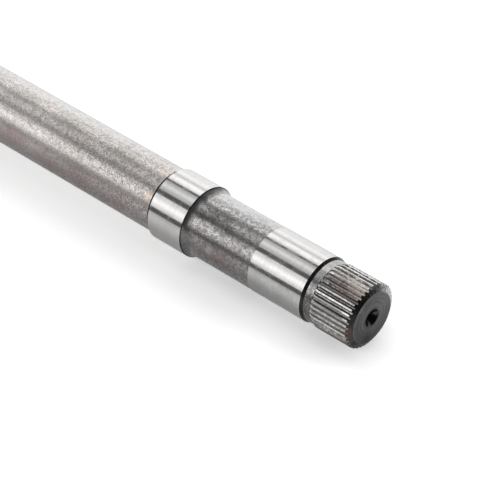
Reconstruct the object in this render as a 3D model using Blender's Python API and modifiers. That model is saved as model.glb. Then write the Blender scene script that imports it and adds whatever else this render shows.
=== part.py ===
"""Splined axle shaft, turned and ground from one steel bar.

Lengths are in metres. The shaft lies along X with its splined end at +X, and the middle of its
bearing land, on the shaft's axis, is at the origin.

The turned form is one half profile, swept round by a Screw modifier. Stations along the shaft
are distances from the splined end's face. The spline's gaps are cut with involute cutters. Each
diameter steps up or down from the spline's, so a change of the spline carries through.
"""
import math

import bmesh
import bpy
from mathutils import Matrix, Vector

# Whole shaft
OVERALL_LENGTH = 0.4750
SHAFT_FACETS = 76
FILLET_STEPS = 6

# Involute spline. The shares are of its module.
SPLINE_TEETH = 38
SPLINE_MODULE = 0.0010
SPLINE_LENGTH = 0.0280
ADDENDUM_SHARE = 0.5
DEDENDUM_SHARE = 0.7
SPLINE_MAJOR_RADIUS = SPLINE_MODULE * (SPLINE_TEETH / 2.0 + ADDENDUM_SHARE)
SPLINE_MINOR_RADIUS = SPLINE_MODULE * (SPLINE_TEETH / 2.0 - DEDENDUM_SHARE)
PRESSURE_ANGLE = math.radians(30.0)
FIRST_GAP_ANGLE = math.radians(5.9)
TOOTH_LEAD_ANGLE = math.radians(20.0)
RUNOUT_ANGLE = math.radians(45.0)
FLANK_STEPS = 3

# Plain collar where the spline's gaps run out, lower than the tooth tips
COLLAR_DROP = 0.00079
COLLAR_RADIUS = SPLINE_MAJOR_RADIUS - COLLAR_DROP
COLLAR_LENGTH = 0.00485

# Seal land. It clears the tooth tips, and a lead-in chamfer drops to the collar.
SEAL_RISE = 0.00028
SEAL_RADIUS = SPLINE_MAJOR_RADIUS + SEAL_RISE
SEAL_LENGTH = 0.0376
SEAL_STEP_LENGTH = 0.0002
SHOULDER_ANGLE = math.radians(30.0)

# Neck, as turned, a little lower than the seal land
NECK_DROP = 0.00018
NECK_RADIUS = SEAL_RADIUS - NECK_DROP
NECK_LENGTH = 0.04965

# Bearing land. The bearing passes over the seal land. A fillet drops to the neck and to the bar.
LAND_RISE = 0.00203
LAND_RADIUS = SEAL_RADIUS + LAND_RISE
LAND_WIDTH = 0.02455
NECK_RIM_CHAMFER = 0.0005
BAR_RIM_CHAMFER = 0.0003
NECK_FILLET_RADIUS = 0.0063
BAR_FILLET_RADIUS = 0.0021

# Bar, as rolled, lower than the bearing land
BAR_DROP = 0.00181
BAR_RADIUS = LAND_RADIUS - BAR_DROP

# Ends
END_CHAMFER_HEIGHT = 0.0039
END_CHAMFER_ANGLE = math.radians(30.0)
FAR_CHAMFER = 0.0016

# Centre holes, one in each end
CENTRE_MOUTH_RADIUS = 0.0054
CENTRE_PILOT_RADIUS = 0.0026
CENTRE_PILOT_LENGTH = 0.0058
CENTRE_CONE_ANGLE = math.radians(30.0)
DRILL_POINT_ANGLE = math.radians(59.0)

# Cutters reach this far past what they cut
CUT_OVERRUN = 0.0010
MERGE_DISTANCE = 0.000001

STEEL_COLOUR = (0.42, 0.41, 0.39, 1.0)
STEEL_ROUGHNESS = 0.35
SHARP_EDGE_ANGLE = math.radians(25.0)


def clear_scene():
    """Remove what the default file holds."""
    for item in list(bpy.data.objects):
        bpy.data.objects.remove(item, do_unlink=True)


def new_collection(name):
    """Add a collection to the scene and return it."""
    collection = bpy.data.collections.new(name)
    bpy.context.scene.collection.children.link(collection)
    return collection


def steel_material():
    """Return the bare steel of the whole shaft."""
    material = bpy.data.materials.new("bare_steel")
    material.use_nodes = True
    shader = material.node_tree.nodes["Principled BSDF"]
    shader.inputs["Base Color"].default_value = STEEL_COLOUR
    shader.inputs["Metallic"].default_value = 1.0
    shader.inputs["Roughness"].default_value = STEEL_ROUGHNESS
    return material


def concave_fillet(foot_radius, rise, fillet_radius):
    """Return (radius, advance) points of a fillet, tangent to the shaft at its foot.

    Where the rise is more than the fillet's own radius, a plain wall goes on from the arc's end.
    """
    arc_rise = min(rise, fillet_radius)
    sweep = math.acos(1.0 - arc_rise / fillet_radius)
    points = []
    for step in range(FILLET_STEPS + 1):
        angle = sweep * step / FILLET_STEPS
        radius = foot_radius + fillet_radius * (1.0 - math.cos(angle))
        points.append((radius, fillet_radius * math.sin(angle)))
    if rise > arc_rise:
        points.append((foot_radius + rise, points[-1][1]))
    return points


def centre_hole():
    """Return (radius, depth) points of a centre hole, from its mouth to its drill point."""
    cone_depth = (CENTRE_MOUTH_RADIUS - CENTRE_PILOT_RADIUS) / math.tan(CENTRE_CONE_ANGLE)
    pilot_depth = cone_depth + CENTRE_PILOT_LENGTH
    point_depth = pilot_depth + CENTRE_PILOT_RADIUS / math.tan(DRILL_POINT_ANGLE)
    return [
        (CENTRE_MOUTH_RADIUS, 0.0),
        (CENTRE_PILOT_RADIUS, cone_depth),
        (CENTRE_PILOT_RADIUS, pilot_depth),
        (0.0, point_depth),
    ]


def shaft_profile():
    """Return the (radius, station) points of the half profile, and the bearing land's middle."""
    points = [(radius, depth) for radius, depth in reversed(centre_hole())]

    chamfer_length = END_CHAMFER_HEIGHT * math.tan(END_CHAMFER_ANGLE)
    points.append((SPLINE_MAJOR_RADIUS - END_CHAMFER_HEIGHT, 0.0))
    points.append((SPLINE_MAJOR_RADIUS, chamfer_length))

    lead_length = (SPLINE_MAJOR_RADIUS - COLLAR_RADIUS) / math.tan(TOOTH_LEAD_ANGLE)
    points.append((SPLINE_MAJOR_RADIUS, SPLINE_LENGTH - lead_length))
    points.append((COLLAR_RADIUS, SPLINE_LENGTH))

    station = SPLINE_LENGTH + COLLAR_LENGTH
    points.append((COLLAR_RADIUS, station))
    station += (SEAL_RADIUS - COLLAR_RADIUS) / math.tan(SHOULDER_ANGLE)
    points.append((SEAL_RADIUS, station))
    station += SEAL_LENGTH
    points.append((SEAL_RADIUS, station))
    points.append((NECK_RADIUS, station + SEAL_STEP_LENGTH))

    rise = LAND_RADIUS - NECK_RIM_CHAMFER - NECK_RADIUS
    fillet = concave_fillet(NECK_RADIUS, rise, NECK_FILLET_RADIUS)
    station += NECK_LENGTH
    land_start = station
    fillet_start = land_start - NECK_RIM_CHAMFER - fillet[-1][1]
    points += [(radius, fillet_start + advance) for radius, advance in fillet]
    points.append((LAND_RADIUS, land_start))

    land_end = land_start + LAND_WIDTH
    points.append((LAND_RADIUS, land_end))
    rise = LAND_RADIUS - BAR_RIM_CHAMFER - BAR_RADIUS
    fillet = concave_fillet(BAR_RADIUS, rise, BAR_FILLET_RADIUS)
    fillet_end = land_end + BAR_RIM_CHAMFER + fillet[-1][1]
    points += [(radius, fillet_end - advance) for radius, advance in reversed(fillet)]

    points.append((BAR_RADIUS, OVERALL_LENGTH - FAR_CHAMFER))
    points.append((BAR_RADIUS - FAR_CHAMFER, OVERALL_LENGTH))
    points += [(radius, OVERALL_LENGTH - depth) for radius, depth in centre_hole()]
    return points, land_start + LAND_WIDTH / 2.0


def place_along_x(item, land_middle):
    """Turn an object that was made round Z so that it lies along X, bearing land at the origin."""
    item.rotation_euler = (0.0, math.radians(90.0), 0.0)
    item.location = (land_middle, 0.0, 0.0)


def make_turned_blank(collection, points):
    """Sweep the half profile round its axis. The splined end is at the top, the profile at +X."""
    mesh = bpy.data.meshes.new("axle_shaft")
    form = bmesh.new()
    verts = [form.verts.new((radius, 0.0, -station)) for radius, station in points]
    for upper, lower in zip(verts, verts[1:]):
        form.edges.new((upper, lower))
    form.to_mesh(mesh)
    form.free()
    blank = bpy.data.objects.new("axle_shaft", mesh)
    collection.objects.link(blank)
    turn = blank.modifiers.new("turn", "SCREW")
    turn.axis = "Z"
    turn.angle = math.radians(360.0)
    turn.steps = SHAFT_FACETS
    turn.render_steps = SHAFT_FACETS
    turn.use_merge_vertices = True
    turn.merge_threshold = MERGE_DISTANCE
    return blank


def involute(angle):
    """Return the involute function of an angle."""
    return math.tan(angle) - angle


def half_gap_angle(radius):
    """Return half the angle that a gap between two teeth takes up at a radius."""
    pitch_radius = SPLINE_MODULE * SPLINE_TEETH / 2.0
    base_radius = pitch_radius * math.cos(PRESSURE_ANGLE)
    flank_angle = math.acos(base_radius / radius)
    return math.pi / (2.0 * SPLINE_TEETH) + involute(flank_angle) - involute(PRESSURE_ANGLE)


def gap_section():
    """Return the (x, y) outline of one gap, centred on +X, open past the tooth tips."""
    flank = []
    for step in range(FLANK_STEPS + 1):
        share = step / FLANK_STEPS
        radius = SPLINE_MAJOR_RADIUS + (SPLINE_MINOR_RADIUS - SPLINE_MAJOR_RADIUS) * share
        flank.append((radius, half_gap_angle(radius)))
    tip_angle = flank[0][1]
    flank.insert(0, (SPLINE_MAJOR_RADIUS + CUT_OVERRUN, tip_angle))
    side = [(radius * math.cos(angle), radius * math.sin(angle)) for radius, angle in flank]
    return side + [(x, -y) for x, y in reversed(side)]


def make_gap_cutter(collection):
    """Make the cutter for all the spline's gaps: one prism a gap, lifted out at its inner end."""
    lift = SPLINE_MAJOR_RADIUS - SPLINE_MINOR_RADIUS + CUT_OVERRUN
    rise_to_collar = COLLAR_RADIUS - SPLINE_MINOR_RADIUS
    straight_length = SPLINE_LENGTH - rise_to_collar / math.tan(RUNOUT_ANGLE) + CUT_OVERRUN

    form = bmesh.new()
    verts = [form.verts.new((x, y, CUT_OVERRUN)) for x, y in gap_section()]
    mouth = form.faces.new(verts)
    swept = bmesh.ops.extrude_face_region(form, geom=[mouth])
    end = next(item for item in swept["geom"] if isinstance(item, bmesh.types.BMFace))
    bmesh.ops.translate(form, verts=end.verts, vec=Vector((0.0, 0.0, -straight_length)))
    end = bmesh.ops.extrude_discrete_faces(form, faces=[end])["faces"][0]
    lift_out = Vector((lift, 0.0, -lift / math.tan(RUNOUT_ANGLE)))
    bmesh.ops.translate(form, verts=end.verts, vec=lift_out)
    first_gap = form.verts[:] + form.edges[:] + form.faces[:]
    for tooth in range(1, SPLINE_TEETH):
        copy = bmesh.ops.duplicate(form, geom=first_gap)
        turn = Matrix.Rotation(math.tau * tooth / SPLINE_TEETH, 3, "Z")
        new_verts = [item for item in copy["geom"] if isinstance(item, bmesh.types.BMVert)]
        bmesh.ops.rotate(form, verts=new_verts, cent=(0.0, 0.0, 0.0), matrix=turn)
    turn = Matrix.Rotation(FIRST_GAP_ANGLE, 3, "Z")
    bmesh.ops.rotate(form, verts=form.verts, cent=(0.0, 0.0, 0.0), matrix=turn)
    bmesh.ops.recalc_face_normals(form, faces=form.faces)

    mesh = bpy.data.meshes.new("spline_gap_cutter")
    form.to_mesh(mesh)
    form.free()
    cutter = bpy.data.objects.new("spline_gap_cutter", mesh)
    collection.objects.link(cutter)
    cutter.hide_render = True
    cutter.display_type = "WIRE"
    return cutter


def cut_spline(shaft, cutter):
    """Cut the gaps out of the turned blank, and keep the result as the shaft's own mesh."""
    gaps = shaft.modifiers.new("spline_gaps", "BOOLEAN")
    gaps.operation = "DIFFERENCE"
    gaps.solver = "EXACT"
    gaps.object = cutter
    bpy.context.view_layer.update()
    evaluated = shaft.evaluated_get(bpy.context.evaluated_depsgraph_get())
    mesh = bpy.data.meshes.new_from_object(evaluated)
    shaft.modifiers.clear()
    shaft.data = mesh
    mesh.name = shaft.name
    mesh.shade_smooth()
    mesh.set_sharp_from_angle(angle=SHARP_EDGE_ANGLE)


def main():
    """Build the shaft."""
    clear_scene()
    parts = new_collection("splined_axle_shaft")
    cutters = new_collection("cutters")
    points, land_middle = shaft_profile()
    shaft = make_turned_blank(parts, points)
    cutter = make_gap_cutter(cutters)
    place_along_x(shaft, land_middle)
    place_along_x(cutter, land_middle)
    cut_spline(shaft, cutter)
    shaft.data.materials.clear()
    shaft.data.materials.append(steel_material())


main()
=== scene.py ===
"""Splined axle shaft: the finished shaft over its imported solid, its studio and its camera.

The shaft lies along X with its splined end at +X, and the middle of its bearing land, on the
shaft's axis, is at the origin. Lengths are in metres. A station is a distance from the splined
end's face. A clock angle is in degrees, and runs round the shaft from straight up towards the
front.
"""
import logging
import math
from dataclasses import dataclass, field
from enum import Enum
from typing import Optional, Union

import bmesh
import bpy
from mathutils import Matrix, Vector


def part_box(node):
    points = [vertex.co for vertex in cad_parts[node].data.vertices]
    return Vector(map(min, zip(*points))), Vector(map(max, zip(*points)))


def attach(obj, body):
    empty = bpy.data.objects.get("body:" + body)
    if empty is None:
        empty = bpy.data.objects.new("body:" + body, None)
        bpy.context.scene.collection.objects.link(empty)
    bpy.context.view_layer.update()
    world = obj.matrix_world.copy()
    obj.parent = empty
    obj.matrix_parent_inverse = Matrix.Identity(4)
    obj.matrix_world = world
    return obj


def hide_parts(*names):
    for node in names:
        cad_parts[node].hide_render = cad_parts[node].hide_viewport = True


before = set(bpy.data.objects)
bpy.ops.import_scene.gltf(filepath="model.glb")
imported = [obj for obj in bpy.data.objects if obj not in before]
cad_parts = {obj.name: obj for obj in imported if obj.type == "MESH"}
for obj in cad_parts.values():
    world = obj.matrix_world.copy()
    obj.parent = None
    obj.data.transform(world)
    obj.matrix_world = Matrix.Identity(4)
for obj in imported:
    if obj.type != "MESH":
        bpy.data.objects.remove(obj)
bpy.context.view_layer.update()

CAD_NODE = "axle_shaft"
WHITE = (1.0, 1.0, 1.0, 1.0)
MILLIMETRES = 1000.0

Node = bpy.types.Node
Socket = bpy.types.NodeSocket
Sockets = bpy.types.bpy_prop_collection
Feed = Union[float, tuple, Vector, Socket]
Colour = tuple[float, float, float]
ProfilePoint = tuple[float, float]
StainAndLightRow = tuple[float, float, float, float, Colour, float]

log = logging.getLogger(CAD_NODE)


class Finish(Enum):
    """The finishes on the shaft. Each value is the finish's material slot."""

    END_FACE = 0
    CENTRE_HOLE = 1
    CHAMFER = 2
    TOOTH_TIP = 3
    TOOTH_FLANK = 4
    COLLAR = 5
    GROUND = 6
    NECK = 7
    FILLET = 8
    BAR = 9


class ToolTravel(Enum):
    """Which way the turning tool travelled. Each value is the measure its marks are spaced by."""

    ALONG_AXIS = "Along"
    ACROSS_FACE = "Radius"


class NodeBoard:
    """Adds and links the nodes of one node tree."""

    def __init__(self, tree: bpy.types.NodeTree) -> None:
        """Empty the node tree and keep it."""
        self.tree = tree
        tree.nodes.clear()

    def add(self, kind: str, **settings: object) -> Node:
        """Add a node.

        Args:
            kind: the node's type name.
            settings: properties to set on the node.

        Returns:
            The new node.
        """
        node = self.tree.nodes.new(kind)
        for name, value in settings.items():
            setattr(node, name, value)
        return node

    def feed(self, node: Node, values: dict[Union[str, int], Feed]) -> None:
        """Fill a node's inputs, with a link where a value is a socket.

        Args:
            node: the node.
            values: the values, by the inputs' names or places.
        """
        for key, value in values.items():
            if isinstance(value, bpy.types.NodeSocket):
                self.tree.links.new(value, node.inputs[key])
            else:
                node.inputs[key].default_value = value

    def math(self, operation: str, *values: Feed, clamp: bool = False) -> Socket:
        """Add a Math node.

        Args:
            operation: the node's operation.
            values: one value for each input that the operation reads.
            clamp: whether the result is kept between 0 and 1.

        Returns:
            The result's socket.
        """
        node = self.add("ShaderNodeMath", operation=operation, use_clamp=clamp)
        self.feed(node, dict(enumerate(values)))
        return node.outputs[0]

    def vector_math(self, operation: str, *values: Feed) -> Sockets:
        """Add a Vector Math node.

        Args:
            operation: the node's operation.
            values: one vector for each input that the operation reads.

        Returns:
            The node's outputs.
        """
        node = self.add("ShaderNodeVectorMath", operation=operation)
        self.feed(node, dict(enumerate(values)))
        return node.outputs

    def split(self, vector: Feed) -> Sockets:
        """Return a vector's X, Y and Z."""
        node = self.add("ShaderNodeSeparateXYZ")
        self.feed(node, {0: vector})
        return node.outputs

    def ramp(self, value: Feed, low: Feed, high: Feed) -> Socket:
        """Add a smooth step.

        Args:
            value: the input.
            low: the input that gives 0.
            high: the input that gives 1. It may be the lower of the two.

        Returns:
            The result's socket.
        """
        node = self.add("ShaderNodeMapRange", interpolation_type="SMOOTHSTEP")
        self.feed(node, {"Value": value, "From Min": low, "From Max": high})
        return node.outputs["Result"]

    def dim(self, value: Feed, low: float, high: float, loss: float) -> Socket:
        """Add a factor that falls from 1 while the input goes from low to high.

        Args:
            value: the input.
            low: the input at which the fall starts.
            high: the input at which it ends.
            loss: how far the factor falls.

        Returns:
            The factor's socket.
        """
        return self.math("MULTIPLY_ADD", self.ramp(value, low, high), -loss, 1.0)

    def noise(self, vector: Feed, scale: Feed, detail: float, rough: float) -> Socket:
        """Add a Noise Texture.

        Args:
            vector: where the noise is read.
            scale: features to each unit of the vector.
            detail: how many finer layers are added.
            rough: how strong the finer layers are.

        Returns:
            The noise's socket, about 0.5 on average.
        """
        node = self.add("ShaderNodeTexNoise")
        self.feed(node, {"Vector": vector, "Scale": scale, "Detail": detail, "Roughness": rough})
        return node.outputs["Fac"]

    def place(self, group: bpy.types.NodeTree, **values: Feed) -> Sockets:
        """Place a node group.

        Args:
            group: the group's node tree.
            values: a value or socket for each of the group's inputs, by name.

        Returns:
            The placed group's outputs.
        """
        node = self.add("ShaderNodeGroup", node_tree=group)
        self.feed(node, values)
        return node.outputs

    def end(self, kind: str, shader: Node) -> None:
        """Show a shader's result through an output node of the given type."""
        self.feed(self.add(kind), {"Surface": shader.outputs[0]})


class EffectLibrary:
    """The surface effects that the finishes share, each a node group that is built once.

    A noise is given as its scale, its finer layers and their strength, or as the last two alone.
    Edges are the inputs between which a mask goes from 0 to 1.
    """

    LOOSE_NOISE = (1.0, 3.0, 0.6)
    STREAK_NOISE = (0.3, 2.0, 0.7)
    DRIFT_NOISE = (260.0, 2.0, 0.5)
    DRIFT_REACH = 9.0
    RIPPLE_LEAD = 1.9
    MOTTLE_LAYERS = (7.0, 0.68)
    MOTTLE_EMPTY = 0.7
    MOTTLE_SPAN = 0.4
    PATCH_LAYERS = (5.0, 0.65)
    PATCH_RAGGEDNESS = 2.4
    PATCH_EDGES = (0.3, 1.1)
    SCRATCH_SLANTS = (0.5, -0.8)
    SCRATCH_STRETCH = (0.05, 1.0, 0.4)
    SCRATCH_LAYERS = (1.0, 0.5)
    SCRATCH_WIDTH = 0.012
    DRAWN_STRETCH = (0.04, 1.0, 1.0)
    DRAWN_LAYERS = (2.0, 0.6)
    DRAWN_EDGES = (0.44, 0.60)

    def __init__(self) -> None:
        """Build every effect."""
        self.measures = self._measures()
        self.lathe_marks = self._lathe_marks()
        self.mottle = self._mottle()
        self.patch = self._patch()
        self.scratches = self._scratches()
        self.drawn_marks = self._drawn_marks()

    @staticmethod
    def _start(
        name: str, vectors: tuple[str, ...], floats: tuple[str, ...], results: tuple[str, ...]
    ) -> tuple[NodeBoard, Sockets, Node]:
        """Start a group whose results are all plain numbers.

        Args:
            name: the group's name.
            vectors: the names of the inputs that take a vector.
            floats: the names of the inputs that take a number.
            results: the names of the results.

        Returns:
            The group's board, its inputs and its output node.
        """
        tree = bpy.data.node_groups.new(name, "ShaderNodeTree")
        plan = [(label, "INPUT", "NodeSocketVector") for label in vectors]
        plan += [(label, "INPUT", "NodeSocketFloat") for label in floats]
        plan += [(label, "OUTPUT", "NodeSocketFloat") for label in results]
        for label, way, kind in plan:
            tree.interface.new_socket(label, in_out=way, socket_type=kind)
        board = NodeBoard(tree)
        return board, board.add("NodeGroupInput").outputs, board.add("NodeGroupOutput")

    def _measures(self) -> bpy.types.NodeTree:
        """Build the group that gives a point's place along the shaft and its radius.

        Returns:
            The group's tree.
        """
        board, given, result = self._start(
            "shaft_measures", ("Position",), (), ("Along", "Radius")
        )
        parts = board.split(given["Position"])
        across = board.math("MULTIPLY", parts["Y"], parts["Y"])
        squared = board.math("MULTIPLY_ADD", parts["Z"], parts["Z"], across)
        board.feed(result, {"Along": parts["X"], "Radius": board.math("SQRT", squared)})
        return board.tree

    def _lathe_marks(self) -> bpy.types.NodeTree:
        """Build the group of turning marks: rings, spaced by a pitch, that wander a little.

        Returns:
            The group's tree.
        """
        board, given, result = self._start(
            "lathe_marks",
            ("Position",),
            ("Travel", "Pitch", "Wander", "Ripples"),
            ("Height", "Streak", "Chatter"),
        )
        turns = board.math("DIVIDE", given["Travel"], given["Pitch"])
        parts = board.split(given["Position"])
        spread = board.add("ShaderNodeCombineXYZ")
        wanders = {axis: board.math("MULTIPLY", parts[axis], given["Wander"]) for axis in "YZ"}
        board.feed(spread, {"X": turns, **wanders})
        loose = board.noise(spread.outputs[0], *self.LOOSE_NOISE)
        drift = board.noise(given["Position"], *self.DRIFT_NOISE)
        drift = board.math("MULTIPLY", drift, self.DRIFT_REACH)
        feed_wave = board.math("SINE", board.math("MULTIPLY_ADD", turns, math.tau, drift))
        clock = board.math("ARCTAN2", parts["Y"], parts["Z"])
        around = board.math("MULTIPLY_ADD", clock, given["Ripples"], drift)
        ripple = board.math("SINE", board.math("MULTIPLY_ADD", turns, self.RIPPLE_LEAD, around))
        chatter = board.math("MULTIPLY_ADD", board.math("MULTIPLY", feed_wave, ripple), 0.5, 0.5)
        height = board.math("MULTIPLY_ADD", loose, 0.5, board.math("MULTIPLY", chatter, 0.5))
        streak = board.noise(spread.outputs[0], *self.STREAK_NOISE)
        board.feed(result, {"Height": height, "Streak": streak, "Chatter": chatter})
        return board.tree

    def _mottle(self) -> bpy.types.NodeTree:
        """Build the group of ragged blotches that cover a share of the surface.

        Returns:
            The group's tree.
        """
        board, given, result = self._start(
            "mottle", ("Position",), ("Size", "Cover", "Softness"), ("Mask",)
        )
        scale = board.math("DIVIDE", 1.0, given["Size"])
        cloud = board.noise(given["Position"], scale, *self.MOTTLE_LAYERS)
        middle = board.math("MULTIPLY_ADD", given["Cover"], -self.MOTTLE_SPAN, self.MOTTLE_EMPTY)
        low = board.math("SUBTRACT", middle, given["Softness"])
        high = board.math("ADD", middle, given["Softness"])
        board.feed(result, {"Mask": board.ramp(cloud, low, high)})
        return board.tree

    def _patch(self) -> bpy.types.NodeTree:
        """Build the group of one ragged patch with a centre and a reach each way.

        Returns:
            The group's tree.
        """
        board, given, result = self._start(
            "patch_of_stain_and_light", ("Position", "Centre", "Reach"), ("Grain",), ("Mask",)
        )
        offset = board.vector_math("SUBTRACT", given["Position"], given["Centre"])[0]
        scaled = board.vector_math("DIVIDE", offset, given["Reach"])[0]
        length = board.vector_math("LENGTH", scaled)["Value"]
        cloud = board.noise(given["Position"], given["Grain"], *self.PATCH_LAYERS)
        ragged = self.PATCH_RAGGEDNESS
        ragged = board.math("MULTIPLY_ADD", cloud, ragged, -ragged / 2.0)
        edge = board.ramp(board.math("ADD", length, ragged), *self.PATCH_EDGES)
        board.feed(result, {"Mask": board.math("SUBTRACT", 1.0, edge)})
        return board.tree

    def _scratches(self) -> bpy.types.NodeTree:
        """Build the group of fine handling scratches that run aslant over the shaft.

        Returns:
            The group's tree.
        """
        board, given, result = self._start("scratches", ("Position",), ("Spacing",), ("Mask",))
        scale = board.math("DIVIDE", 1.0, given["Spacing"])
        masks = []
        for slant in self.SCRATCH_SLANTS:
            turned = board.add("ShaderNodeMapping")
            turned.inputs["Rotation"].default_value = (slant, slant, slant)
            board.feed(turned, {"Scale": self.SCRATCH_STRETCH, "Vector": given["Position"]})
            cloud = board.noise(turned.outputs[0], scale, *self.SCRATCH_LAYERS)
            line = board.math("ABSOLUTE", board.math("SUBTRACT", cloud, 0.5))
            masks.append(board.dim(line, 0.0, self.SCRATCH_WIDTH, 1.0))
        board.feed(result, {"Mask": board.math("MAXIMUM", *masks)})
        return board.tree

    def _drawn_marks(self) -> bpy.types.NodeTree:
        """Build the group of fine lines that the cutter draws along the teeth.

        Returns:
            The group's tree.
        """
        board, given, result = self._start("drawn_marks", ("Position",), ("Spacing",), ("Mask",))
        stretched = board.add("ShaderNodeMapping")
        board.feed(stretched, {"Scale": self.DRAWN_STRETCH, "Vector": given["Position"]})
        scale = board.math("DIVIDE", 1.0, given["Spacing"])
        cloud = board.noise(stretched.outputs[0], scale, *self.DRAWN_LAYERS)
        board.feed(result, {"Mask": board.ramp(cloud, *self.DRAWN_EDGES)})
        return board.tree


class PaintedMaterial:
    """A material whose colour is laid on in layers."""

    def __init__(self, name: str, base: Colour) -> None:
        """Start the material with one colour everywhere."""
        self.material = bpy.data.materials.new(name)
        self.material.use_nodes = True
        self.board = NodeBoard(self.material.node_tree)
        self.position = self.board.add("ShaderNodeTexCoord").outputs["Object"]
        self.colour: Feed = (*base, 1.0)

    def effect(self, group: bpy.types.NodeTree, **values: Feed) -> Sockets:
        """Place an effect on the surface and return its outputs."""
        return self.board.place(group, Position=self.position, **values)

    def lay(self, mask: Feed, share: Feed, colour: Colour) -> Socket:
        """Lay a colour over the ones that are there.

        Args:
            mask: where the colour lies.
            share: how much of it shows there.
            colour: the colour.

        Returns:
            How much of the colour shows, from 0 to 1.
        """
        cover = self.board.math("MULTIPLY", mask, share, clamp=True)
        blend = self.board.add("ShaderNodeMix", data_type="RGBA", clamp_factor=True)
        self.board.feed(blend, {0: cover, 6: self.colour, 7: (*colour, 1.0)})
        self.colour = blend.outputs[2]
        return cover


@dataclass(frozen=True)
class StainAndLightPatch:
    """One patch of colour, of one of these kinds: rust bloom, oil film, heat tint, painted shade,
    painted highlight, painted reflection.
    """

    station: float
    clock: float
    radius: float
    length: float
    width: float
    colour: Colour
    share: float

    def centre(self, face_x: float) -> Vector:
        """Find the patch's centre on the shaft's surface.

        Args:
            face_x: where the splined end's face is.

        Returns:
            The centre.
        """
        angle = math.radians(self.clock)
        side = -self.radius * math.sin(angle)
        return Vector((face_x - self.station, side, self.radius * math.cos(angle)))

    def reach(self) -> Vector:
        """Return how far the patch reaches along each axis."""
        return Vector((self.length / 2.0, self.width / 2.0, self.width / 2.0))


def stain_and_light_patches(radius: float, *rows: StainAndLightRow) -> tuple[StainAndLightPatch, ...]:
    """Make the patches, of stain and of painted light, that lie at one radius.

    Args:
        radius: the radius.
        rows: each patch's station, clock angle, length, width, colour and share.

    Returns:
        The patches.
    """
    return tuple(StainAndLightPatch(at, clock, radius, *rest) for at, clock, *rest in rows)


@dataclass(frozen=True)
class PaintedLightRing:
    """A painted light tone, painted shade on the tooth flanks and a painted highlight at the end
    face's rim, that comes in as the radius grows from one value to another.
    """

    start: float
    end: float
    colour: Colour
    share: float


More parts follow.
